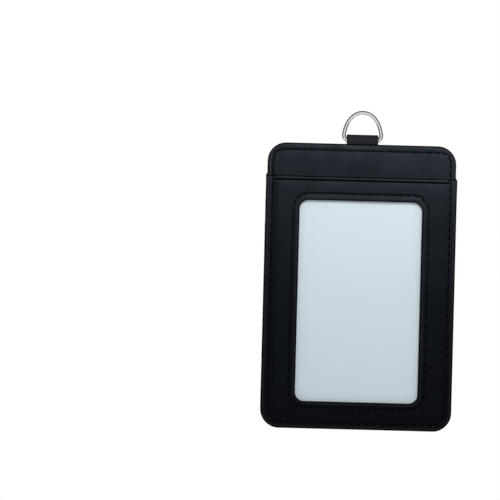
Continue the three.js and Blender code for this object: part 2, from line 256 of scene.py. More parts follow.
class Shell:
    """Gathers the triangles of a closed mesh with the normal of each corner."""

    def __init__(self):
        self.points = []
        self.triangles = []
        self.normals = []
        self.insets = []
        self.painted = []
        self.count = 0

    def add_points(self, points, inset):
        """Adds points, with how far each is in from the cut edge, and returns the index of the first."""
        first = self.count
        self.points.append(points)
        self.insets.append(np.broadcast_to(inset, len(points)))
        self.count += len(points)
        return first

    def add_triangles(self, triangles, corner_normals, painted=False):
        """Adds triangles; painted ones take the piece's second material."""
        self.triangles.append(triangles)
        self.normals.append(np.broadcast_to(corner_normals, (*triangles.shape, 3)))
        self.painted.append(np.broadcast_to(painted, len(triangles)))

    def add_band(self, near, far, near_normals, far_normals, painted=False):
        """Joins two closed loops of point indices by a band of triangles, facing right of near to far."""
        near_next, far_next = np.roll(near, -1), np.roll(far, -1)
        near_turned, far_turned = np.roll(near_normals, -1, axis=0), np.roll(far_normals, -1, axis=0)
        self.add_triangles(
            np.stack([near, near_next, far_next], axis=1),
            np.stack([near_normals, near_turned, far_turned], axis=1),
            painted,
        )
        self.add_triangles(
            np.stack([near, far_next, far], axis=1),
            np.stack([near_normals, far_turned, far_normals], axis=1),
            painted,
        )

    def object(self, name):
        """The finished mesh object."""
        mesh = bpy.data.meshes.new(name)
        triangles = np.concatenate(self.triangles)
        mesh.from_pydata(np.concatenate(self.points).tolist(), [], triangles.tolist())
        mesh.polygons.foreach_set("material_index", np.concatenate(self.painted).astype(np.int32))
        mesh.shade_smooth()
        mesh.normals_split_custom_set(np.concatenate(self.normals).reshape(-1, 3).tolist())
        inset = mesh.attributes.new("edge_inset", "FLOAT", "POINT")
        inset.data.foreach_set("value", (np.concatenate(self.insets) / MM).astype(np.float32))
        return placed(name, mesh)


def placed(name, data):
    """A new object in the scene."""
    piece = bpy.data.objects.new(name, data)
    bpy.context.scene.collection.objects.link(piece)
    return piece


def unit(rows):
    """Each row at length 1."""
    return rows / np.linalg.norm(rows, axis=1)[:, None]


def triangulate(points, loops):
    """Triangles over the points, inside the closed loops of point indices, in counter-clockwise order.

    Returns the triangles as indices of the given points.
    """
    edges = [(loop[i - 1], loop[i]) for loop in loops for i in range(len(loop))]
    flat = [Vector(pair) for pair in (points / MM).tolist()]
    inside_loops, tolerance = 1, 1e-6
    faces, origins = delaunay_2d_cdt(flat, edges, [], inside_loops, tolerance)[2:4]
    back = np.array([origin[0] for origin in origins])
    triangles = back[np.array(faces)]
    a, b, c = (points[triangles[:, i]] for i in range(3))
    turned = (b[:, 0] - a[:, 0]) * (c[:, 1] - a[:, 1]) - (b[:, 1] - a[:, 1]) * (c[:, 0] - a[:, 0]) < 0
    triangles[turned] = triangles[turned][:, ::-1]
    return triangles


def on_plane(points, y):
    return np.stack([points[:, 0], np.broadcast_to(y, len(points)), points[:, 1]], axis=1)


class Sheet:
    """One piece of the holder's leather: its outline, its faces and what is pressed or sewn into it."""

    def __init__(self, node, side, low_radius, high_radius, sizes):
        low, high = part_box(node)
        self.node = node
        self.side = side
        self.sizes = sizes
        self.face = low.y if side == WINDOW_SIDE else high.y
        self.back = high.y if side == WINDOW_SIDE else low.y
        self.outline = Rectangle(high.x, low.z, high.z, low_radius, high_radius)
        self.seam = edge_seam(sizes)
        self.lip = None
        self.aperture = None
        self.base = 0.0
        self.holes = np.zeros((0, 4))
        self.shown_low = low.z - 10 * MM
        self.tab_tail = False

    def relief(self, x, z):
        """How far the finished surface stands off the flat face, outwards; a covered part stays flat."""
        sizes = self.sizes
        edge_drop, edge_reach = 0.02 * MM, 0.8 * MM
        depth = np.maximum(self.outline.depth(x, z), 0)
        seam = self.seam.depth(x, z)
        inside = np.maximum(seam, 0)
        rise = self.base - edge_drop * gauss(depth, edge_reach)
        rise -= sizes.valley_depth * gauss(seam, sizes.valley_width)
        rise -= sizes.pillow_height * np.exp(-inside / sizes.pillow_reach)
        rise += sizes.swell_height * (1 - np.exp(-inside / sizes.swell_reach))
        rise -= sizes.dip_depth * np.exp(-np.maximum(z - self.shown_low, 0) / sizes.dip_reach)
        rise += waves(x, z, self.face, sizes.wave_height)
        if self.lip is not None:
            rise += self.lip_relief(x, z)
        if self.aperture is not None:
            rise += self.aperture_relief(x, z)
        if self.tab_tail:
            rise += self.tail_relief(x, z, depth)
        rise -= self.dents(x, z)
        return rise * ramp(self.shown_low, self.shown_low + MOUTH, z) - rolled(depth, sizes.edge_roll)

    def tail_relief(self, x, z, depth):
        """The bulge of a cover over the tab's tail."""
        flat_half, foot_half = 4.5 * MM, 8.5 * MM
        end_reach = 3 * MM
        edge_start, edge_end = 0.3 * MM, 2.4 * MM
        across = 1 - ramp(flat_half, foot_half, np.abs(x))
        up = ramp(-end_reach, end_reach, z - (self.outline.high - self.sizes.tab_tail))
        return self.sizes.tab_bulge * across * up * ramp(edge_start, edge_end, depth)

    def lip_relief(self, x, z):
        """The pressed crease under a pocket's lip, and the crown of the strip below it."""
        sizes = self.sizes
        crease_end, strip_end = 0.9 * MM, 3 * MM
        bead_start, bead_end = 0.3 * MM, 1.1 * MM
        pinch_depth, pinch_half, pinch_drop = 0.1 * MM, 1.1 * MM, 1.6 * MM
        below = self.lip - z
        inside = 1 - ramp(self.seam.half - crease_end, self.seam.half, np.abs(x))
        rise = -sizes.crease_depth * gauss(below - sizes.crease_drop, sizes.crease_width) * inside
        across = ramp(0, strip_end, self.seam.half - np.abs(x))
        rise += sizes.bead_rise * ramp(bead_start, bead_end, below) * across
        beyond = np.maximum(below - sizes.crease_drop, 0)
        rise += sizes.strip_bulge * (1 - np.exp(-beyond / sizes.strip_reach)) * across
        pinch = gauss(np.abs(x) - self.seam.half, pinch_half) * gauss(below, pinch_drop)
        return rise - pinch_depth * pinch

    def aperture_relief(self, x, z):
        """The rolled rim and the raised ridge round the window, and the seam that holds the film."""
        sizes = self.sizes
        ridge_height, ridge_out, ridge_width = 0.07 * MM, 1.0 * MM, 0.55 * MM
        out = np.maximum(-self.aperture.depth(x, z), 0)
        seam = out - sizes.window_seam
        rise = ridge_height * gauss(out - ridge_out, ridge_width) - rolled(out, sizes.edge_roll)
        rise -= sizes.valley_depth * gauss(seam, sizes.valley_width)
        return rise - 0.5 * sizes.pillow_height * np.exp(-np.abs(seam) / sizes.pillow_reach)

    def dents(self, x, z):
        """The slanted dents where a stitch ends and the next begins, on each side of a needle hole."""
        sizes = self.sizes
        reach = 1.2 * MM
        slant = math.radians(24)
        total = np.zeros(np.shape(x))
        if not len(self.holes):
            return total
        near = np.abs(self.seam.depth(x, z)) < reach
        if self.aperture is not None:
            near |= np.abs(self.aperture.depth(x, z) + sizes.window_seam) < reach
        if self.tab_tail and self.side == SLOTS_SIDE:
            near |= np.abs(x) < reach
        off_x = x[near][:, None] - self.holes[:, 0]
        off_z = z[near][:, None] - self.holes[:, 1]
        tangent_x, tangent_z = -self.holes[:, 3], self.holes[:, 2]
        axis_x = tangent_x * math.cos(slant) - tangent_z * math.sin(slant)
        axis_z = tangent_x * math.sin(slant) + tangent_z * math.cos(slant)
        for shift in (-sizes.stitch_gap / 2, sizes.stitch_gap / 2):
            from_x = off_x - shift * tangent_x
            from_z = off_z - shift * tangent_z
            along = from_x * axis_x + from_z * axis_z
            across = from_z * axis_x - from_x * axis_z
            dent = np.exp(-((along / sizes.dent_length) ** 2) - (across / sizes.dent_width) ** 2)
            total[near] = np.maximum(total[near], sizes.dent_depth * dent.max(axis=1))
        return total

    def flare(self, x, z):
        """How far the sides of a pocket spring out near its lip."""
        if self.lip is None:
            return np.zeros(np.shape(x))
        fade = 3 * MM
        spring = self.sizes.lip_flare * np.exp(-np.maximum(self.lip - z, 0) / fade)
        return np.sign(x) * spring * ramp(self.seam.half, self.outline.half, np.abs(x))

    def lattice(self):
        """Points over the face, close together where the relief is fine.

        Each grid has its steps in lattice units, and a test for how far from a feature it reaches.
        """
        outline, seam = self.outline, self.seam
        keys = [self.grid(16, 16, lambda x, z: np.ones(x.shape, bool))]
        keys.append(self.grid(8, 8, lambda x, z: self.shown(z) & (np.abs(seam.depth(x, z)) < 4 * MM)))
        keys.append(self.grid(2, 2, lambda x, z: self.shown(z) & (np.abs(seam.depth(x, z)) < 0.9 * MM)))
        if self.lip is not None:
            crease = self.sizes.crease_drop
            keys.append(self.grid(4, 1, lambda x, z: np.abs(self.lip - z - crease) < 0.7 * MM))
            keys.append(self.grid(4, 2, lambda x, z: self.lip - z < 2.6 * MM))
            keys.append(self.grid(8, 4, lambda x, z: self.lip - z < 5 * MM))
        if self.aperture is not None:
            ring = self.aperture.depth
            keys.append(self.grid(8, 8, lambda x, z: ring(x, z) > -6 * MM))
            keys.append(self.grid(2, 2, lambda x, z: ring(x, z) > -3.5 * MM))
        if self.tab_tail:
            keys.append(self.grid(4, 4, lambda x, z: (np.abs(x) < 9 * MM) & (outline.high - z < 12 * MM)))
        patch_half, patch_width = 9, 5.5
        reach = range(-patch_half, patch_half + 1)
        patch = np.array([(i, j) for i in reach for j in reach])
        for hole in self.holes:
            middle = np.round(hole[:2] / LATTICE_UNIT).astype(int)
            keys.append(patch[np.abs(patch @ hole[2:]) < patch_width] + middle)
        points = np.unique(np.concatenate(keys), axis=0) * LATTICE_UNIT
        clear = ROUNDING_RINGS[-1] + 0.08 * MM
        kept = outline.depth(*points.T) > clear
        if self.aperture is not None:
            kept &= self.aperture.depth(*points.T) < -clear
        return points[kept]

    def shown(self, z):
        return z > self.shown_low

    def grid(self, step_x, step_z, wanted):
        """Lattice indices at every step_x and step_z, where they are wanted."""
        reach_x = math.ceil(self.outline.half / LATTICE_UNIT / step_x) * step_x
        low_z = math.floor(self.outline.low / LATTICE_UNIT / step_z) * step_z
        high_z = math.ceil(self.outline.high / LATTICE_UNIT)
        i, j = np.meshgrid(np.arange(-reach_x, reach_x + 1, step_x), np.arange(low_z, high_z + 1, step_z))
        pairs = np.stack([i.ravel(), j.ravel()], axis=1)
        return pairs[wanted(pairs[:, 0] * LATTICE_UNIT, pairs[:, 1] * LATTICE_UNIT)]

    def build(self, name):
        """The finished piece of leather as a closed mesh."""
        rims = [(self.outline.ring(), -1)]
        if self.aperture is not None:
            rims.append((self.aperture.ring(), 1))
        flat, loops = [], []
        for rim, inwards in rims:
            first = sum(len(points) for points in flat)
            loops.append(np.arange(first, first + len(rim)))
            for inset in ROUNDING_RINGS:
                flat.append(rim[:, :2] + inwards * inset * rim[:, 2:])
        flat.append(self.lattice())
        flat = np.concatenate(flat)
        return self.close(name, flat, self.faces(flat, loops), loops, rims)

    def faces(self, points, loops):
        """Triangles over the sheet, with the window left open."""
        triangles = triangulate(points, loops)
        if self.aperture is None:
            return triangles
        return triangles[self.aperture.depth(*points[triangles].mean(axis=1).T) < 0]

    def close(self, name, flat, triangles, loops, rims):
        """Lifts the flat points to the relief and adds the cut edge and the back."""
        x, z = flat.T
        rise = self.relief(x, z)
        slope_x = (self.relief(x + SLOPE_PROBE, z) - self.relief(x - SLOPE_PROBE, z)) / (2 * SLOPE_PROBE)
        slope_z = (self.relief(x, z + SLOPE_PROBE) - self.relief(x, z - SLOPE_PROBE)) / (2 * SLOPE_PROBE)
        normals = unit(np.stack([-slope_x, np.full(len(x), float(self.side)), -slope_z], axis=1))
        shift = self.flare(x, z)
        front = np.stack([x + shift, self.face + self.side * rise, z], axis=1)
        inset = self.outline.depth(x, z)
        if self.aperture is not None:
            inset = np.minimum(inset, -self.aperture.depth(x, z))
        shell = Shell()
        shell.add_points(front, inset)
        order = slice(None) if self.side == WINDOW_SIDE else slice(None, None, -1)
        triangles = triangles[:, order]
        painted = inset[triangles].max(axis=1) < self.sizes.edge_paint + SNAP
        # Edge paint laps onto the face; the crease faces take it too, partly the hot iron's darkening,
        # partly painted shade
        if self.lip is not None:
            painted |= self.burnished_and_shaded(x, z)[triangles].all(axis=1)
        shell.add_triangles(triangles, normals[triangles], painted)
        self.add_back(shell, front, flat, loops, rims, order)
        return shell.object(name)

    def burnished_and_shaded(self, x, z):
        """Where the pressed crease is painted black: partly the hot iron's darkening, partly painted shade
        of the groove.
        """
        end_gap = 0.5 * MM
        close = np.abs(self.lip - z - self.sizes.crease_drop) < self.sizes.crease_width + SNAP
        return close & (np.abs(x) < self.seam.half - end_gap)

    def add_back(self, shell, front, flat, loops, rims, order):
        """The cut edge round each rim, and the flat back between them."""
        edge_points, back_loops = [], []
        start = shell.count
        for loop, (rim, inwards) in zip(loops, rims):
            edge = front[loop].copy()
            edge[:, 1] = self.back
            first = shell.add_points(edge, 0.0)
            back = np.arange(first, first + len(loop))
            outward = on_plane(-inwards * rim[:, 2:], 0.0)
            near, far = (loop, back) if self.side * inwards > 0 else (back, loop)
            shell.add_band(near, far, outward, outward, True)
            edge_points.append(flat[loop])
            back_loops.append(back - start)
        triangles = self.faces(np.concatenate(edge_points), back_loops)
        triangles = triangles[:, ::-1][:, order] + start
        shell.add_triangles(triangles, (0.0, float(-self.side), 0.0))


def rolled(depth, radius):
    """Drop of a rounded edge at a distance in from it."""
    short = np.clip(radius - depth, 0, radius)
    return radius - np.sqrt(radius**2 - short**2)


def waves(x, z, seed, height):
    """Slow unevenness of the hide, from crossing waves of given lengths in mm and directions in radians."""
    crossing = ((9, 0.4), (13, 1.3), (17, 2.3), (24, 0.1), (31, 1.8))
    longest = crossing[-1][0]
    phase_step, phase_per_metre = 1.7, 3000
    total = np.zeros(np.shape(x))
    for i, (wave, angle) in enumerate(crossing):
        along = x * math.cos(angle) + z * math.sin(angle)
        turn = 2 * math.pi * along / (wave * MM) + i * phase_step + seed * phase_per_metre
        total += np.sin(turn) * wave / longest
    return height * total / 2


def edge_seam(sizes):
    """The line of the seam round the holder's edge."""
    low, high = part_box("window_side_cover")
    return Rectangle(
        high.x - sizes.seam_side,
        low.z + sizes.seam_bottom,
        high.z - sizes.seam_top,
        sizes.seam_corner,
        sizes.seam_top_corner,
    )


def window_aperture(sizes):
    low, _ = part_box("window_panel")
    return Rectangle(
        sizes.aperture_half,
        low.z + sizes.aperture_low,
        low.z + sizes.aperture_high,
        sizes.aperture_corner,
        sizes.aperture_corner,
    )


def needle_holes(seam, lips, sizes):
    """Needle holes round a seam, with outward normals: one above each lip, and even steps between them."""
    right = [seam.side_station(lip + sizes.lip_hole) for lip in sorted(lips)]
    marks = [0, *right, *(seam.length - station for station in reversed(right)), seam.length]
    at = []
    for start, end in zip(marks[:-1], marks[1:]):
        at.append(np.linspace(start, end, round((end - start) / sizes.stitch_pitch), endpoint=False))
    return seam.walk(np.concatenate(at))


def edge_holes(side, sizes):
    """Needle holes of the seam round the holder's edge, on one side."""
    panels = ("window_panel",) if side == WINDOW_SIDE else SLOT_PANELS
    return needle_holes(edge_seam(sizes), [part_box(panel)[1].z for panel in panels], sizes)


def window_holes(sizes):
    """Needle holes of the seam round the window."""
    return needle_holes(window_aperture(sizes).grown(sizes.window_seam), [], sizes)


def tab_holes(sizes):
    """Needle holes of the short run that holds the tab's tail."""
    low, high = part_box("tab_stitching")
    end_gap = 0.2 * MM
    heights = np.linspace(high.z - end_gap, low.z + end_gap, sizes.tab_stitches + 1)
    return np.array([(0.0, z, 1.0, 0.0) for z in heights])


def leather_sheets(sizes):
    """The six pieces of face leather, by node, in order from the outermost inwards on each side."""
    corner, lip = sizes.corner_radius, sizes.lip_corner
    cuts = (
        ("window_panel", WINDOW_SIDE, corner, lip),
        ("window_side_cover", WINDOW_SIDE, corner, corner),
        ("slot_panel_lower", SLOTS_SIDE, corner, lip),
        ("slot_panel_middle", SLOTS_SIDE, lip, lip),
        ("slot_panel_upper", SLOTS_SIDE, lip, lip),
        ("slots_side_cover", SLOTS_SIDE, corner, corner),
    )
    sheets = {node: Sheet(node, side, low, high, sizes) for node, side, low, high in cuts}
    for node, sheet in sheets.items():
        if "panel" in node:
            sheet.lip = sheet.outline.high
        else:
            sheet.tab_tail = True
    sheets["window_panel"].aperture = window_aperture(sizes)
    # The card slides 0.1 mm in front of this cover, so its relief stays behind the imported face
    sheets["window_side_cover"].base = -0.28 * MM
    for outer, inner in (
        ("window_panel", "window_side_cover"),
        ("slot_panel_middle", "slot_panel_upper"),
        ("slot_panel_lower", "slot_panel_middle"),
        ("slot_panel_upper", "slots_side_cover"),
    ):
        sheets[inner].shown_low = sheets[outer].lip - MOUTH
    share_holes(sheets, sizes)
    return sheets


def share_holes(sheets, sizes):
    """Gives each needle hole to the outermost sheet that shows there."""
    for side in (WINDOW_SIDE, SLOTS_SIDE):
        holes = edge_holes(side, sizes)
        for sheet in sheets.values():
            if sheet.side != side:
                continue
            inside = sheet.outline.depth(holes[:, 0], holes[:, 1]) > 0
            sheet.holes = holes[inside]
            holes = holes[~inside]
    window = sheets["window_panel"]
    window.holes = np.concatenate([window.holes, window_holes(sizes)])
    cover = sheets["slots_side_cover"]
    cover.holes = np.concatenate([cover.holes, tab_holes(sizes)])


def outer_surface(sheets, side, x, z):
    """Distance of the outermost leather from the mid-plane, outwards, at each point."""
    found = np.full(x.shape, np.nan)
    for sheet in sheets.values():
        if sheet.side != side:
            continue
        open_points = np.isnan(found) & (sheet.outline.depth(x, z) > 0)
        found[open_points] = (sheet.side * sheet.face + sheet.relief(x, z))[open_points]
    return found


def taut(heights, stations):
    """The line that a pulled thread takes over the heights: straight between the points that hold it."""
    best = heights.copy()
    count = len(stations)
    for left in range(count):
        for right in range(left + 2, count):
            for middle in range(left + 1, right):
                share = (stations[middle] - stations[left]) / (stations[right] - stations[left])
                level = heights[:, left] + (heights[:, right] - heights[:, left]) * share
                best[:, middle] = np.maximum(best[:, middle], level)
    return best


def stitch_lines(sheets, side, holes, closed, sizes):
    """The middle line of each stitch, which dives into the leather short of its two needle holes."""
    starts = holes if closed else holes[:-1]
    ends = np.roll(holes, -1, axis=0) if closed else holes[1:]
    drift, arch_height, dive = 0.1 * MM, 0.05 * MM, 0.2 * MM
    thread_lift = 0.35 * sizes.thread_radius
    start = starts[:, :2] + drift * starts[:, 2:]
    end = ends[:, :2] - drift * ends[:, 2:]
    bite = (end - start) * (sizes.stitch_gap / 2 / np.hypot(*(end - start).T))[:, None]
    start, end = start + bite, end - bite
    flat = start[:, None, :] + (end - start)[:, None, :] * STITCH_STATIONS[None, :, None]
    heights = outer_surface(sheets, side, flat[..., 0], flat[..., 1])
    arch = arch_height * np.sin(math.pi * STITCH_STATIONS)
    heights = taut(heights, STITCH_STATIONS) + arch + thread_lift
    heights[:, (0, -1)] -= dive
    return np.stack([flat[..., 0], side * heights, flat[..., 1]], axis=-1)


def add(tree, kind, inputs=None, **settings):
    """Adds a node; an input is a constant, or an output socket of another node to link from.

    Inputs go by name, or by number where names repeat: on a mix node 0 is the factor, 2 and 3 are
    numbers, 6 and 7 are colours, and output 2 is the mixed colour.
    """
    node = tree.nodes.new(kind)
    for name, value in settings.items():
        setattr(node, name, value)
    for name, value in (inputs or {}).items():
        socket = node.inputs[name]
        if isinstance(value, bpy.types.NodeSocket):
            tree.links.new(value, socket)
        else:
            socket.default_value = value
    return node


def new_material(name):
    """An empty material with its tree and the object's own coordinates."""
    material = bpy.data.materials.new(name)
    material.use_nodes = True
    tree = material.node_tree
    tree.nodes.clear()
    return material, tree, add(tree, "ShaderNodeTexCoord").outputs["Object"]


def close_material(material, base, height, strength, depth, finish):
    """Ends a material in a shader over a fine relief; finish holds the shader's other inputs."""
    tree = material.node_tree
    bump = add(tree, "ShaderNodeBump", {"Height": height, "Strength": strength, "Distance": depth})
    inputs = {"Base Color": base, "Normal": bump.outputs["Normal"], **finish}
    shader = add(tree, "ShaderNodeBsdfPrincipled", inputs)
    add(tree, "ShaderNodeOutputMaterial", {"Surface": shader.outputs[0]})
    return material


def toned(shade, share):
    """A darker or paler tone of a colour."""
    return (*(min(1, channel * share) for channel in shade[:3]), 1.0)


def blotches(tree, place, size, detail, roughness, first, second):
    """Soft noise with blotches of a given size, and the colour between two that follows it."""
    inputs = {"Vector": place, "Scale": 1 / size, "Detail": detail, "Roughness": roughness}
    noise = add(tree, "ShaderNodeTexNoise", inputs).outputs["Fac"]
    mixed = add(tree, "ShaderNodeMix", {0: noise, 6: first, 7: second}, data_type="RGBA")
    return noise, mixed.outputs[2]


def smooth_cowhide(colours):
    """Corrected-grain cowhide, dyed black and given a satin finish: near-black with a cool, soft shine.

    The real grain is about 0.15 mm across. It is drawn 0.55 mm across so that it shows.
    A line 0.85 mm in from each edge is painted a little paler: a painted highlight where the edge would
    catch the light; edge_inset counts in millimetres.
    """
    material, tree, place = new_material("smooth_cowhide")
    black = tuple(colours.leather)
    mottle, hide = blotches(tree, place, 9 * MM, 4.0, 0.6, toned(black, 0.7), black)
    inputs = {"Vector": place, "Scale": 1 / (1.6 * MM), "Detail": 3.0, "Roughness": 0.6}
    fibre = add(tree, "ShaderNodeTexNoise", inputs).outputs["Fac"]
    grain = add(
        tree,
        "ShaderNodeTexVoronoi",
        {"Vector": place, "Scale": 1 / (0.55 * MM), "Randomness": 1.0},
        feature="SMOOTH_F1",
    ).outputs["Distance"]
    inset = add(tree, "ShaderNodeAttribute", attribute_name="edge_inset").outputs["Fac"]
    away = add(tree, "ShaderNodeMath", {0: inset, 1: 0.85}, operation="SUBTRACT").outputs[0]
    distance = add(tree, "ShaderNodeMath", {0: away}, operation="ABSOLUTE").outputs[0]
    line = add(
        tree,
        "ShaderNodeMapRange",
        {"Value": distance, "From Min": 0.1, "From Max": 0.4, "To Min": 1.0, "To Max": 0.0},
        interpolation_type="SMOOTHSTEP",
    ).outputs["Result"]
    # Painted highlight: the pale line along each edge, broken up by the fibre noise
    highlighted = add(tree, "ShaderNodeMath", {0: line, 1: fibre}, operation="MULTIPLY").outputs[0]
    inputs = {0: highlighted, 6: hide, 7: tuple(colours.painted_edge_highlight)}
    base = add(tree, "ShaderNodeMix", inputs, data_type="RGBA").outputs[2]
    gloss = add(
        tree,
        "ShaderNodeMapRange",
        {"Value": mottle, "From Min": 0.3, "From Max": 0.7, "To Min": 0.54, "To Max": 0.4},
    ).outputs["Result"]
    fine = add(tree, "ShaderNodeMath", {0: grain, 1: fibre}, operation="ADD").outputs[0]
    relief = add(tree, "ShaderNodeMath", {0: mottle, 1: 12.0, 2: fine}, operation="MULTIPLY_ADD").outputs[0]
    finish = {
        "Roughness": gloss,
        "IOR": 1.5,
        "Specular IOR Level": 0.05,
        "Specular Tint": tuple(colours.leather_sheen),
    }
    return close_material(material, base, relief, 0.25, 0.06 * MM, finish)


def strap_leather(colours):
    """Thin cowhide strap, a little uneven; its pale grey is painted sheen, in place of the shine that the
    sheen lamps would give it.
    """
    material, tree, place = new_material("strap_leather_painted_sheen")
    black = tuple(colours.strap)
    fibre, base = blotches(tree, place, 1.2 * MM, 3.0, 0.6, toned(black, 0.7), black)
    finish = {"Roughness": 0.5, "Specular IOR Level": 0.1}
    return close_material(material, base, fibre, 0.25, 0.06 * MM, finish)


def edge_paint(colours):
    """Acrylic edge paint: the deepest black of the holder, with its shine taken almost to nothing, so it is
    partly painted shade on the cut edges and in the pressed crease.
    """
    material, tree, place = new_material("edge_paint_and_painted_shade")
    black = tuple(colours.edge_paint)
    lumps, base = blotches(tree, place, 0.7 * MM, 3.0, 0.55, black, toned(black, 3))
    finish = {"Roughness": 0.6, "Specular IOR Level": 0.006}
    return close_material(material, base, lumps, 0.3, 0.05 * MM, finish)


def painted_leather(colours):
    """Leather strip whose cut edge is dyed and painted black: a dense satin black, slightly lumpy."""
    material, tree, place = new_material("painted_leather_edge")
    paint, hide = tuple(colours.edge_paint), tuple(colours.leather)
    lumps, base = blotches(tree, place, 0.9 * MM, 3.0, 0.55, paint, hide)
    finish = {"Roughness": 0.5, "Specular IOR Level": 0.05}
    return close_material(material, base, lumps, 0.3, 0.08 * MM, finish)


def bonded_thread(colours):
    """Black bonded polyester thread, 0.4 mm: smooth and faintly waxy, darker than the leather."""
    material, tree, place = new_material("bonded_polyester_thread")
    twist = add(
        tree,
        "ShaderNodeTexWave",
        {"Vector": place, "Scale": 1 / (1.2 * MM), "Distortion": 1.5, "Detail": 1.0},
        bands_direction="DIAGONAL",
    ).outputs["Fac"]
    black = tuple(colours.thread)
    inputs = {0: twist, 6: black, 7: toned(black, 1.8)}
    base = add(tree, "ShaderNodeMix", inputs, data_type="RGBA").outputs[2]
    finish = {
        "Roughness": 0.6,
        "Specular IOR Level": 0.02,
        "Specular Tint": tuple(colours.leather_sheen),
    }
    return close_material(material, base, twist, 0.4, 0.05 * MM, finish)


def woven_nylon(colours):
    """Fine plain-weave nylon lining: a dull black cloth. Its 0.2 mm threads are drawn 0.5 mm apart."""
    material, tree, place = new_material("woven_nylon")
    inputs = {"Vector": place, "Scale": 1 / (3.2 * MM)}
    across, along = (
        add(tree, "ShaderNodeTexWave", inputs, bands_direction=way).outputs["Fac"] for way in ("X", "Z")
    )
    weave = add(tree, "ShaderNodeMath", {0: across, 1: along}, operation="MULTIPLY").outputs[0]
    black = tuple(colours.lining)
    inputs = {0: weave, 6: toned(black, 0.6), 7: black}
    base = add(tree, "ShaderNodeMix", inputs, data_type="RGBA").outputs[2]
    return close_material(material, base, weave, 0.5, 0.05 * MM, {"Roughness": 0.75})


def grey_board(colours):
    """Recycled grey board: matt, warm grey and flecked."""
    material, tree, place = new_material("recycled_grey_board")
    grey = tuple(colours.board)
    flecks, base = blotches(tree, place, 1.1 * MM, 6.0, 0.7, toned(grey, 0.75), grey)
    return close_material(material, base, flecks, 0.3, 0.05 * MM, {"Roughness": 0.9})


def clear_film(colours):
    """Clear vinyl film, 0.2 mm: lets the card show and gives only a thin, sharp shine.

    A faint mirror on an otherwise clear surface stands for its reflection, so it never looks milky.
    """
    material, tree, place = new_material("clear_vinyl_film")
    inputs = {"Vector": place, "Scale": 1 / (22 * MM), "Detail": 2.0, "Roughness": 0.5}
    ripple = add(tree, "ShaderNodeTexNoise", inputs).outputs["Fac"]
    finish = {"Metallic": 1.0, "Roughness": 0.08, "Alpha": 0.02}
    return close_material(material, tuple(colours.film), ripple, 0.3, 0.2 * MM, finish)


def card_stock(colours):
    """Blank PVC-laminated card: pale blue-white, satin, with the faintest orange-peel."""
    material, tree, place = new_material("laminated_card")
    white = tuple(colours.card)
    _, base = blotches(tree, place, 30 * MM, 2.0, 0.5, toned(white, 0.97), white)
    inputs = {"Vector": place, "Scale": 1 / (0.8 * MM), "Detail": 2.0, "Roughness": 0.5}
    peel = add(tree, "ShaderNodeTexNoise", inputs).outputs["Fac"]
    finish = {"Roughness": 0.5, "Specular IOR Level": 0.08}
    return close_material(material, base, peel, 0.1, 0.03 * MM, finish)


def nickel_plate(colours):
    """Steel wire, tumbled and nickel-plated: a bright, slightly warm mirror with fine drawing marks."""
    material, tree, place = new_material("nickel_plate")
    inputs = {"Vector": place, "Scale": 1 / (0.5 * MM), "Detail": 3.0, "Roughness": 0.6}
    marks = add(tree, "ShaderNodeTexNoise", inputs).outputs["Fac"]
    gloss = add(
        tree,
        "ShaderNodeMapRange",
        {"Value": marks, "From Min": 0.3, "From Max": 0.7, "To Min": 0.06, "To Max": 0.14},
    ).outputs["Result"]
    finish = {"Metallic": 1.0, "Roughness": gloss}
    return close_material(material, tuple(colours.nickel), marks, 0.15, 0.02 * MM, finish)


MADE = {}


def material_of(maker, context):
    """The material that a maker makes, made once."""
    if maker.__name__ not in MADE:
        MADE[maker.__name__] = maker(context.scene.holder_colours)
    return MADE[maker.__name__]


def dress(piece, body, slot, materials, *nodes):
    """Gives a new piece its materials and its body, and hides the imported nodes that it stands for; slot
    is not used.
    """
    for material in materials:
        piece.data.materials.append(material)
    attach(piece, body)
    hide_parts(*nodes)


def keep_sheen_off(piece, *sides):
    """Hides each given side's sheen lamp from a piece that would mirror it."""
    for side in sides:
        spared = bpy.data.collections[SPARED[side]]
        spared.objects.link(piece)
        spared.collection_objects[-1].light_linking.link_state = "EXCLUDE"


def finish_nodes(material, *nodes):
    """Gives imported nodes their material."""
    for node in nodes:
        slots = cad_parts[node].data.materials
        slots.clear()
        slots.append(material)


def cut_leather(context, *nodes):
    """Cuts and dresses pieces of face leather."""
    sheets = leather_sheets(context.scene.holder_sizes)
    hide = (material_of(smooth_cowhide, context), material_of(edge_paint, context))
    for node in nodes:
        piece = sheets[node].build(f"{node}_leather")
        dress(piece, "holder", "cover_leather", hide, node)
        keep_sheen_off(piece, -sheets[node].side)


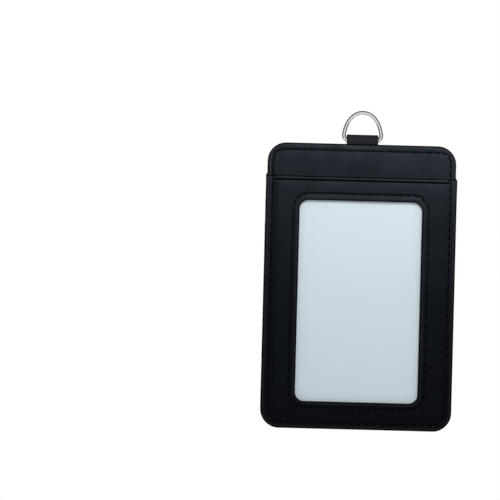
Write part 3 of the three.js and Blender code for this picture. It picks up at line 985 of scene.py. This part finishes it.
def slab(name, loop, low_y, high_y, bevel):
    """A flat piece with small rounded edges, from its outline as counter-clockwise X and Z."""
    ahead = unit(np.roll(loop, -1, axis=0) - loop)
    edge_normals = np.stack([ahead[:, 1], -ahead[:, 0]], axis=1)
    # Mitred, so that an inset is as wide round a corner as along an edge
    normals = edge_normals + np.roll(edge_normals, 1, axis=0)
    normals /= (normals**2).sum(axis=1)[:, None] / 2
    shell = Shell()
    turns = np.radians((0, 30, 60, 90))
    bends = [(bevel * (1 - math.sin(t)), bevel * (1 - math.cos(t)), math.sin(t)) for t in turns]
    rows = [(low_y + drop, inset, -lean) for drop, inset, lean in bends[::-1]]
    rows += [(high_y - drop, inset, lean) for drop, inset, lean in bends]
    outward = on_plane(unit(normals), 0.0)
    bands, flats = [], []
    for y, inset, lean in rows:
        flat = loop - inset * normals
        first = shell.add_points(on_plane(flat, y), inset)
        turned = outward * math.sqrt(1 - lean**2)
        turned[:, 1] = lean
        bands.append((np.arange(first, first + len(loop)), turned))
        flats.append(flat)
    for (near, near_normals), (far, far_normals) in zip(bands[:-1], bands[1:]):
        shell.add_band(near, far, near_normals, far_normals, True)
    indices = np.arange(len(loop))
    front = triangulate(flats[0], [indices])
    back = triangulate(flats[-1], [indices])[:, ::-1]
    caps = ((front, flats[0], low_y, -1.0), (back, flats[-1], high_y, 1.0))
    for triangles, flat, y, facing in caps:
        inner = shell.add_points(on_plane(flat, y), 1 * MM)
        shell.add_triangles(triangles + inner, (0.0, facing, 0.0))
    return shell.object(name)


def swept(centres, sides_x, sides_y, section, section_normals, closed):
    """Sweeps a section along centres; sides_x and sides_y are the section's axes at each centre."""
    rings, turned = [], []
    for centre, side_x, side_y in zip(centres, sides_x, sides_y):
        rings.append(centre + section[:, :1] * side_x + section[:, 1:] * side_y)
        turned.append(section_normals[:, :1] * side_x + section_normals[:, 1:] * side_y)
    shell = Shell()
    firsts = [shell.add_points(ring, 0.0) for ring in rings]
    indices = [np.arange(first, first + len(section)) for first in firsts]
    pairs = list(zip(range(len(rings)), range(1, len(rings))))
    if closed:
        pairs.append((len(rings) - 1, 0))
    for near, far in pairs:
        shell.add_band(indices[near], indices[far], turned[near], turned[far])
    if not closed:
        for end, facing in ((0, -1), (-1, 1)):
            direction = (centres[1] - centres[0]) if end == 0 else (centres[-1] - centres[-2])
            direction = facing * direction / np.linalg.norm(direction)
            fan = np.array([(0, i, i + 1) for i in range(1, len(section) - 1)])
            fan = fan if facing > 0 else fan[:, ::-1]
            first = shell.add_points(rings[end], 0.0)
            shell.add_triangles(fan + first, direction)
    return shell


def bezier(start, start_pull, end_pull, end, count):
    """Points along a curve from start to end that leaves towards start_pull and arrives from end_pull."""
    t = np.linspace(0, 1, count)[:, None]
    leaving = start * (1 - t) ** 3 + 3 * start_pull * t * (1 - t) ** 2
    return leaving + 3 * end_pull * t**2 * (1 - t) + end * t**3


def arc(centre, radius, start, end, count):
    """Points along an arc between two angles in degrees."""
    angles = np.radians(np.linspace(start, end, count))
    return np.array(centre) + radius * np.stack([np.cos(angles), np.sin(angles)], axis=1)


class HOLDER_OT_covers(bpy.types.Operator):
    """Cuts the two covers that the tab's tail is caught between"""

    bl_idname = "holder.covers"
    bl_label = "Covers"

    def execute(self, context):
        cut_leather(context, "window_side_cover", "slots_side_cover")
        return {"FINISHED"}


class HOLDER_OT_panels(bpy.types.Operator):
    """Cuts the window panel and the three slot panels, with their creased lips"""

    bl_idname = "holder.panels"
    bl_label = "Pocket Panels"

    def execute(self, context):
        cut_leather(context, "window_panel", *SLOT_PANELS)
        return {"FINISHED"}


class HOLDER_OT_inner_layers(bpy.types.Operator):
    """Finishes the welts, the linings and the window film"""

    bl_idname = "holder.inner_layers"
    bl_label = "Inner Layers"

    def execute(self, context):
        welts = [panel.replace("panel", "welt") for panel in SLOT_PANELS]
        linings = [panel.replace("panel", "lining") for panel in SLOT_PANELS]
        finish_nodes(material_of(painted_leather, context), "window_pocket_welt", *welts)
        finish_nodes(material_of(woven_nylon, context), *linings)
        finish_nodes(material_of(clear_film, context), "window_film")
        return {"FINISHED"}


class HOLDER_OT_board(bpy.types.Operator):
    """Cuts the stiffener board, notched for the tab's tail"""

    bl_idname = "holder.board"
    bl_label = "Stiffener Board"

    def execute(self, context):
        sizes = context.scene.holder_sizes
        notch_room, edge_inset, bevel, clear = 0.3 * MM, 0.3 * MM, 0.05 * MM, 0.1 * MM
        low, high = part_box("stiffener_board")
        notch_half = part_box("ring_tab")[1].x + notch_room
        notch_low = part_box("ring_tab")[0].z - notch_room
        corner = sizes.corner_radius - edge_inset
        outline = Rectangle(high.x, low.z, high.z, corner, corner).ring()[:, :2]
        top = np.isclose(outline[:, 1], high.z) & (np.abs(outline[:, 0]) < notch_half + clear)
        first = np.flatnonzero(top)[0]
        last = np.flatnonzero(top)[-1]
        notch = np.array(
            [(notch_half, high.z), (notch_half, notch_low), (-notch_half, notch_low), (-notch_half, high.z)]
        )
        outline = np.concatenate([outline[:first], notch, outline[last + 1 :]])
        board = slab("stiffener_board_cut", outline, low.y, high.y, bevel)
        materials = (material_of(grey_board, context), material_of(edge_paint, context))
        dress(board, "holder", "stiffener", materials, "stiffener_board")
        return {"FINISHED"}


class HOLDER_OT_card(bpy.types.Operator):
    """Cuts the blank insert card"""

    bl_idname = "holder.card"
    bl_label = "Insert Card"

    def execute(self, context):
        low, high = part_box("id_card_blank")
        corner, bevel = 3.18 * MM, 0.08 * MM
        outline = Rectangle(high.x, low.z, high.z, corner, corner).ring()[:, :2]
        card = slab("insert_card", outline, low.y, high.y, bevel)
        stock = material_of(card_stock, context)
        dress(card, "card", "card_plastic", (stock, stock), "id_card_blank")
        return {"FINISHED"}


class HOLDER_OT_ring(bpy.types.Operator):
    """Bends the D-ring from wire"""

    bl_idname = "holder.ring"
    bl_label = "D-Ring"

    def execute(self, context):
        low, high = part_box("d_ring")
        wire = (high.y - low.y) / 2
        half, top, bar = high.x - wire, high.z - wire, low.z + wire
        corner, side_pull, top_pull = 1.8 * MM, 2.2 * MM, 5.4 * MM
        bar_points, corner_points, arch_points = 13, 14, 40
        shoulder = bar + corner
        bend = half - corner
        right = bezier(
            np.array((half, shoulder)),
            np.array((half, shoulder + side_pull)),
            np.array((top_pull, top)),
            np.array((0.0, top)),
            arch_points,
        )
        path = np.concatenate(
            [
                np.linspace((-bend, bar), (bend, bar), bar_points)[:-1],
                arc((bend, shoulder), corner, -90, 0, corner_points)[:-1],
                right[:-1],
                (right * (-1, 1))[::-1][:-1],
                arc((-bend, shoulder), corner, 180, 270, corner_points)[:-1],
            ]
        )
        ahead = unit(np.roll(path, -1, axis=0) - np.roll(path, 1, axis=0))
        outward = np.stack([ahead[:, 1], np.zeros(len(path)), -ahead[:, 0]], axis=1)
        across = np.broadcast_to((0.0, 1.0, 0.0), outward.shape)
        section = arc((0, 0), 1, 0, 360, WIRE_SIDES + 1)[:-1]
        centres = on_plane(path, 0.0)
        shell = swept(centres, outward, across, section * wire, section, True)
        ring = shell.object("d_ring_wire")
        dress(ring, "ring", "ring_plating", (material_of(nickel_plate, context),), "d_ring")
        keep_sheen_off(ring, WINDOW_SIDE, SLOTS_SIDE)
        return {"FINISHED"}


class HOLDER_OT_tab(bpy.types.Operator):
    """Folds the ring tab from a strap of leather"""

    bl_idname = "holder.tab"
    bl_label = "Ring Tab"

    def execute(self, context):
        low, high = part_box("ring_tab")
        board_low, board_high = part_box("stiffener_board")
        body_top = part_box("window_side_cover")[1].z
        thick = (board_high.y - board_low.y) / 2
        middle = (board_high.y + board_low.y) / 2
        ring_low, ring_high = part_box("d_ring")
        bar = ring_low.z + (ring_high.y - ring_low.y) / 2
        radius = high.y - thick / 2
        head = high.z - thick / 2 - radius
        near, far = middle - thick / 2, middle + thick / 2
        straight_top = body_top - 1 * MM
        head_points = 25
        path = np.concatenate(
            [
                [(near, low.z), (near, straight_top)],
                self.flank(near, body_top, -radius, bar),
                arc((0, head), radius, 180, 0, head_points),
                self.flank(far, body_top, radius, bar)[::-1],
                [(far, straight_top), (far, low.z)],
            ]
        )
        ahead = unit(np.gradient(path, axis=0))
        centres = np.stack([np.zeros(len(path)), path[:, 0], path[:, 1]], axis=1)
        outward = np.stack([np.zeros(len(path)), -ahead[:, 1], ahead[:, 0]], axis=1)
        across = np.broadcast_to((-1.0, 0.0, 0.0), outward.shape)
        section, section_normals = self.section(high.x, thick / 2)
        shell = swept(centres, across, outward, section, section_normals, False)
        side_way = np.concatenate(shell.points)[:, 0]
        triangle_way = side_way[np.concatenate(shell.triangles)].mean(axis=1)
        shell.insets = [high.x - np.abs(side_way)]
        shell.painted = [np.abs(triangle_way) > high.x - thick / 2]
        tab = shell.object("ring_tab_strap")
        # The strap's paler colour is painted sheen, in place of the sheen lamps that are kept off the tab
        # below
        hide = (material_of(strap_leather, context), material_of(edge_paint, context))
        dress(tab, "holder", "cover_leather", hide, "ring_tab")
        keep_sheen_off(tab, WINDOW_SIDE, SLOTS_SIDE)
        return {"FINISHED"}

    def flank(self, foot_y, foot_z, side_y, bar):
        """The strap's line from between the covers out to the side of the wire."""
        foot_pull, side_pull = 0.25 * MM, 0.95 * MM
        flank_points = 14
        return bezier(
            np.array((foot_y, foot_z)),
            np.array((foot_y, foot_z + foot_pull)),
            np.array((side_y, bar - side_pull)),
            np.array((side_y, bar)),
            flank_points,
        )

    def section(self, half, half_thick):
        """Across the strap: flat faces and rounded edges."""
        corner = 0.85 * half_thick
        corner_points = 6
        turns = ((1, -1, -90), (1, 1, 0), (-1, 1, 90), (-1, -1, 180))
        points, normals = [], []
        for side_x, side_y, start in turns:
            centre = (side_x * (half - corner), side_y * (half_thick - corner))
            points.append(arc(centre, corner, start, start + 90, corner_points))
            normals.append(arc((0, 0), 1, start, start + 90, corner_points))
        return np.concatenate(points), np.concatenate(normals)


class HOLDER_OT_stitching(bpy.types.Operator):
    """Sews the edge seams, the window seam and the short run through the tab's tail"""

    bl_idname = "holder.stitching"
    bl_label = "Stitching"

    def execute(self, context):
        sizes = context.scene.holder_sizes
        sheets = leather_sheets(sizes)
        runs = (
            ("edge_stitching_window_side", WINDOW_SIDE, edge_holes(WINDOW_SIDE, sizes), True),
            ("edge_stitching_slots_side", SLOTS_SIDE, edge_holes(SLOTS_SIDE, sizes), True),
            ("window_stitching", WINDOW_SIDE, window_holes(sizes), True),
            ("tab_stitching", SLOTS_SIDE, tab_holes(sizes), False),
        )
        thread = material_of(bonded_thread, context)
        tree, sockets = thread_tree(thread)
        for node, side, holes, closed in runs:
            lines = stitch_lines(sheets, side, holes, closed, sizes)
            piece = sew(f"{node}_thread", lines, tree, sockets, sizes.thread_radius)
            dress(piece, "holder", "sewing_thread", (thread,), node)
            keep_sheen_off(piece, -side)
        return {"FINISHED"}


def thread_tree(thread):
    """Geometry nodes that turn each line of edges into a stitch of thread."""
    tree = bpy.data.node_groups.new("sewn_thread", "GeometryNodeTree")
    face = tree.interface
    face.new_socket("Lines", in_out="INPUT", socket_type="NodeSocketGeometry")
    radius = face.new_socket("Thread Radius", in_out="INPUT", socket_type="NodeSocketFloat")
    sides = face.new_socket("Thread Sides", in_out="INPUT", socket_type="NodeSocketInt")
    face.new_socket("Thread", in_out="OUTPUT", socket_type="NodeSocketGeometry")
    given = add(tree, "NodeGroupInput")
    curve = add(tree, "GeometryNodeMeshToCurve", {"Mesh": given.outputs["Lines"]})
    section = add(
        tree,
        "GeometryNodeCurvePrimitiveCircle",
        {"Resolution": given.outputs["Thread Sides"], "Radius": given.outputs["Thread Radius"]},
    )
    tube = add(
        tree,
        "GeometryNodeCurveToMesh",
        {"Curve": curve.outputs[0], "Profile Curve": section.outputs["Curve"], "Fill Caps": True},
    )
    shaded = add(tree, "GeometryNodeSetShadeSmooth", {"Geometry": tube.outputs[0]})
    real = add(tree, "GeometryNodeRealizeInstances", {"Geometry": shaded.outputs[0]})
    painted = add(tree, "GeometryNodeSetMaterial", {"Geometry": real.outputs[0], "Material": thread})
    add(tree, "NodeGroupOutput", {"Thread": painted.outputs[0]})
    return tree, (radius.identifier, sides.identifier)


def sew(name, lines, tree, sockets, radius):
    """The stitches along the lines as one plain mesh."""
    count, stations, _ = lines.shape
    first = np.arange(count)[:, None] * stations + np.arange(stations - 1)
    edges = np.stack([first.ravel(), first.ravel() + 1], axis=1)
    carrier = bpy.data.meshes.new(f"{name}_lines")
    carrier.from_pydata(lines.reshape(-1, 3).tolist(), edges.tolist(), [])
    piece = placed(name, carrier)
    modifier = piece.modifiers.new("sewn_thread", "NODES")
    modifier.node_group = tree
    modifier[sockets[0]] = radius
    modifier[sockets[1]] = THREAD_SIDES
    evaluated = piece.evaluated_get(bpy.context.evaluated_depsgraph_get())
    mesh = bpy.data.meshes.new_from_object(evaluated)
    mesh.materials.clear()
    piece.modifiers.clear()
    piece.data = mesh
    bpy.data.meshes.remove(carrier)
    return piece


# Each face's two lamps: place sideways, outwards and up from the ring, then width and height, then watts
KEY_LAMP = ((-30 * MM, 180 * MM, 80 * MM), (140 * MM, 80 * MM), 0.33)
SHEEN_LAMP = ((-50 * MM, 120 * MM, 20 * MM), (300 * MM, 40 * MM), 1.4)
LAMP_TARGET = Vector((0, 0, -30 * MM))


class HOLDER_OT_stage(bpy.types.Operator):
    """Sets up the camera, the lamps, the white surroundings and the floor"""

    bl_idname = "holder.stage"
    bl_label = "Stage"

    def execute(self, context):
        self.camera(context)
        for face, side in (("window", WINDOW_SIDE), ("slots", SLOTS_SIDE)):
            key = self.lamp(f"{face}_side_key", side, *KEY_LAMP)
            key.visible_glossy = False
            sheen = self.lamp(f"{face}_side_sheen", side, *SHEEN_LAMP)
            sheen.visible_diffuse = False
            sheen.light_linking.receiver_collection = bpy.data.collections.new(SPARED[side])
        self.surroundings(context)
        self.floor()
        context.scene.view_settings.view_transform = "Standard"
        return {"FINISHED"}

    def camera(self, context):
        """Looks along +Y from a metre away, a little to the left of the holder, as the photograph does."""
        photo_width = 193.1 * MM
        place = Vector((-42.3 * MM, -1.0, -53.35 * MM))
        roll = math.radians(1.5)
        data = bpy.data.cameras.new("photo_camera")
        data.sensor_width = 36
        data.lens = data.sensor_width * -place.y / photo_width
        camera = placed("photo_camera", data)
        right = Vector((math.cos(roll), 0, math.sin(roll)))
        up = Vector((-math.sin(roll), 0, math.cos(roll)))
        back = Vector((0, -1, 0))
        turn = Matrix((right, up, back)).transposed().to_4x4()
        camera.matrix_world = Matrix.Translation(place) @ turn
        context.scene.camera = camera

    def lamp(self, name, side, place, size, watts):
        """A soft lamp close above a face, so that the light on it fades down the holder."""
        data = bpy.data.lights.new(name, "AREA")
        data.shape = "RECTANGLE"
        data.size, data.size_y = size
        data.energy = watts
        lamp = placed(name, data)
        lamp.location = (side * place[0], side * place[1], place[2])
        lamp.rotation_euler = (LAMP_TARGET - lamp.location).to_track_quat("-Z", "Y").to_euler()
        lamp.visible_camera = False
        return lamp

    def looked_at(self, tree):
        """1 for a ray that shows the surroundings: from the camera, by a reflection or through film."""
        path = add(tree, "ShaderNodeLightPath").outputs
        seen = path["Is Camera Ray"]
        for kind in ("Is Glossy Ray", "Is Transmission Ray"):
            seen = add(tree, "ShaderNodeMath", {0: seen, 1: path[kind]}, operation="MAXIMUM").outputs[0]
        return seen, path["Is Glossy Ray"]

    def surroundings(self, context):
        """White to look at, straight on, in a mirror or through film, and an even fill for the object.

        A mirror also finds dark flags at the sides of the holder, which give the ring its dark outline.
        """
        fill, white, dark = 0.47, 1.0, 0.06
        world = bpy.data.worlds.new("white_surroundings")
        world.use_nodes = True
        tree = world.node_tree
        tree.nodes.clear()
        direction = add(tree, "ShaderNodeTexCoord").outputs["Generated"]
        ahead = add(tree, "ShaderNodeSeparateXYZ", {"Vector": direction}).outputs["Y"]
        facing = add(tree, "ShaderNodeMath", {0: ahead}, operation="ABSOLUTE").outputs[0]
        flags = add(
            tree,
            "ShaderNodeMapRange",
            {"Value": facing, "From Min": 0.6, "From Max": 0.9, "To Min": dark, "To Max": white},
            interpolation_type="SMOOTHSTEP",
        ).outputs["Result"]
        seen, mirrored = self.looked_at(tree)
        shown = add(tree, "ShaderNodeMix", {0: mirrored, 2: white, 3: flags}).outputs[0]
        strength = add(tree, "ShaderNodeMix", {0: seen, 2: fill, 3: shown}).outputs[0]
        light = add(tree, "ShaderNodeBackground", {"Color": (1, 1, 1, 1), "Strength": strength})
        add(tree, "ShaderNodeOutputWorld", {"Surface": light.outputs[0]})
        context.scene.world = world

    def floor(self):
        """A pale disc below the holder that keeps its shadow."""
        count, radius, height = 96, 500 * MM, -200 * MM
        glow_straight, glow_mirrored = 0.6, 0.15
        angles = np.linspace(0, 2 * math.pi, count, endpoint=False)
        rim = [(radius * math.cos(a), radius * math.sin(a), height) for a in angles]
        mesh = bpy.data.meshes.new("pale_floor")
        mesh.from_pydata(rim, [], [range(count)])
        material, tree, _ = new_material("pale_floor_paint")
        paint = add(tree, "ShaderNodeBsdfDiffuse", {"Color": linear("#f4f4f4")})
        seen, mirrored = self.looked_at(tree)
        glow = add(tree, "ShaderNodeMix", {0: mirrored, 2: glow_straight, 3: glow_mirrored}).outputs[0]
        fill = add(tree, "ShaderNodeMath", {0: seen, 1: glow}, operation="MULTIPLY").outputs[0]
        light = add(tree, "ShaderNodeEmission", {"Strength": fill})
        both = add(tree, "ShaderNodeAddShader", {0: paint.outputs[0], 1: light.outputs[0]})
        add(tree, "ShaderNodeOutputMaterial", {"Surface": both.outputs[0]})
        mesh.materials.append(material)
        placed("pale_floor", mesh)


class HOLDER_PT_pieces(bpy.types.Panel):
    """Lists the steps that build the holder"""

    bl_label = "Card Holder"
    bl_idname = "HOLDER_PT_pieces"
    bl_space_type = "VIEW_3D"
    bl_region_type = "UI"
    bl_category = "Card Holder"

    def draw(self, context):
        for operator in STEPS:
            self.layout.operator(operator.bl_idname)


STEPS = (
    HOLDER_OT_stage,
    HOLDER_OT_ring,
    HOLDER_OT_tab,
    HOLDER_OT_covers,
    HOLDER_OT_panels,
    HOLDER_OT_inner_layers,
    HOLDER_OT_board,
    HOLDER_OT_card,
    HOLDER_OT_stitching,
)
CLASSES = (HolderSizes, HolderColours, *STEPS, HOLDER_PT_pieces)


def register():
    for each in CLASSES:
        bpy.utils.register_class(each)
    bpy.types.Scene.holder_sizes = PointerProperty(type=HolderSizes)
    bpy.types.Scene.holder_colours = PointerProperty(type=HolderColours)


def unregister():
    del bpy.types.Scene.holder_colours
    del bpy.types.Scene.holder_sizes
    for each in reversed(CLASSES):
        bpy.utils.unregister_class(each)


def main():
    register()
    bpy.ops.holder.stage()
    bpy.ops.holder.ring()
    bpy.ops.holder.tab()
    bpy.ops.holder.covers()
    bpy.ops.holder.panels()
    bpy.ops.holder.inner_layers()
    bpy.ops.holder.board()
    bpy.ops.holder.card()
    bpy.ops.holder.stitching()


if __name__ == "__main__":
    main()
